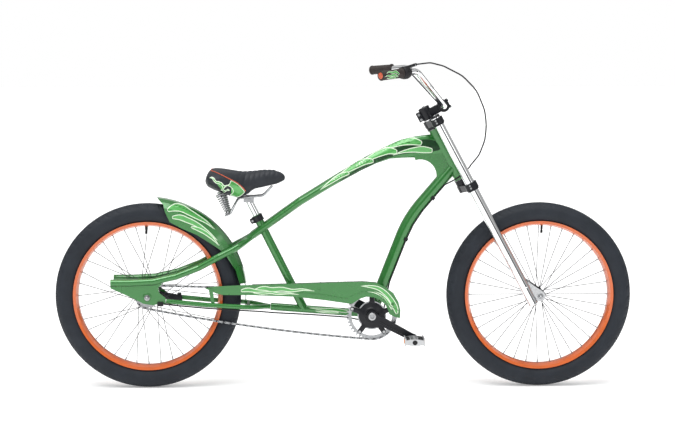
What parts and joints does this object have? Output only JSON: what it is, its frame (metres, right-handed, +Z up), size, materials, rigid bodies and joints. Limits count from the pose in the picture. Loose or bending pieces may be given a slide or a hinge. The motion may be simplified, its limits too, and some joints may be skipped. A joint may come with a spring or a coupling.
{
  "type": "chopper bicycle",
  "caption": "Stretched chopper bicycle with a curved tube frame, long twin-crown fork, wide balloon tyres, rear fender, chain guard, sprung saddle and swept handlebar",
  "frame": {"origin": "the rider's place on top of the saddle", "axes": "+X forward, +Y to the rider's left, +Z up"},
  "size_m": [2.0279, 0.7314, 1.1488],
  "materials": {
    "green_paint": "metallic green lacquer",
    "chrome": "polished chrome",
    "black_paint": "satin black",
    "orange_paint": "gloss orange",
    "tyre": "dark rubber",
    "steel": "bare steel",
    "aluminium": "brushed aluminium",
    "saddle_cover": "black cover",
    "grip_rubber": "dark rubber",
    "black_plastic": "matt black"
  },
  "bodies": {
    "frame": {"head_tube": "green_paint", "headset_cups": "black_paint", "top_tube": "green_paint", "head_web": "green_paint", "down_tube": "green_paint", "seat_tube": "green_paint", "lower_tube": "green_paint", "bottom_bracket_shell": "black_paint", "seatstay_right": "green_paint", "seatstay_left": "green_paint", "chainstay_right": "green_paint", "chainstay_left": "green_paint", "dropout_right": "green_paint", "dropout_left": "green_paint", "seat_collar": "black_paint", "seatpost": "chrome", "saddle_rails": "chrome", "saddle_springs": "chrome", "saddle": "saddle_cover", "rear_fender": "green_paint", "fender_brackets": "green_paint", "chain_guard": "green_paint", "chain_guard_bracket": "green_paint", "chain": "steel", "rear_axle": "steel", "coaster_arm": "black_paint", "shift_cable_frame": "black_plastic", "cable_guides": "black_plastic"},
    "steering": {"steerer": "chrome", "lower_crown": "black_paint", "upper_crown": "black_paint", "fork_legs": "chrome", "fork_ends": "chrome", "front_axle": "steel", "stem": "black_paint", "handlebar": "chrome", "grips": "grip_rubber", "shifter": "black_plastic", "shift_cable_loop": "black_plastic"},
    "front_wheel": {"front_tyre": "tyre", "front_rim": "orange_paint", "front_spokes": "black_paint", "front_hub": "black_paint"},
    "rear_wheel": {"rear_tyre": "tyre", "rear_rim": "orange_paint", "rear_spokes": "black_paint", "rear_hub": "black_paint"},
    "rear_sprocket": {"sprocket": "steel"},
    "crankset": {"chainring": "steel", "crank_arms": "black_paint", "crank_spindle": "steel"},
    "right_pedal": {"pedal_right": "aluminium"},
    "left_pedal": {"pedal_left": "aluminium"}
  },
  "joints": [
    {"name": "steering_turn", "type": "hinge", "parent": "frame", "child": "steering", "pos_m": [0.799, 0, -0.029], "axis": [-0.4695, 0, 0.8829], "range_deg": [-45, 45]},
    {"name": "front_wheel_spin", "type": "hinge", "parent": "steering", "child": "front_wheel", "pos_m": [1.076, 0, -0.438], "axis": [0, 1, 0], "continuous": true},
    {"name": "rear_wheel_spin", "type": "hinge", "parent": "frame", "child": "rear_wheel", "pos_m": [-0.3, 0, -0.438], "axis": [0, 1, 0], "continuous": true},
    {"name": "crank_spin", "type": "hinge", "parent": "frame", "child": "crankset", "pos_m": [0.485, 0, -0.505], "axis": [0, 1, 0], "continuous": true},
    {"name": "sprocket_spin", "type": "hinge", "parent": "frame", "child": "rear_sprocket", "pos_m": [-0.3, -0.047, -0.438], "axis": [0, 1, 0], "continuous": true},
    {"name": "pedal_right_spin", "type": "hinge", "parent": "crankset", "child": "right_pedal", "pos_m": [0.62892, -0.138, -0.58152], "axis": [0, 1, 0], "continuous": true},
    {"name": "pedal_left_spin", "type": "hinge", "parent": "crankset", "child": "left_pedal", "pos_m": [0.34108, 0.138, -0.42848], "axis": [0, 1, 0], "continuous": true}
  ],
  "couplings": [
    {"joint": "sprocket_spin", "follows": "crank_spin", "ratio": 2.1}
  ]
}
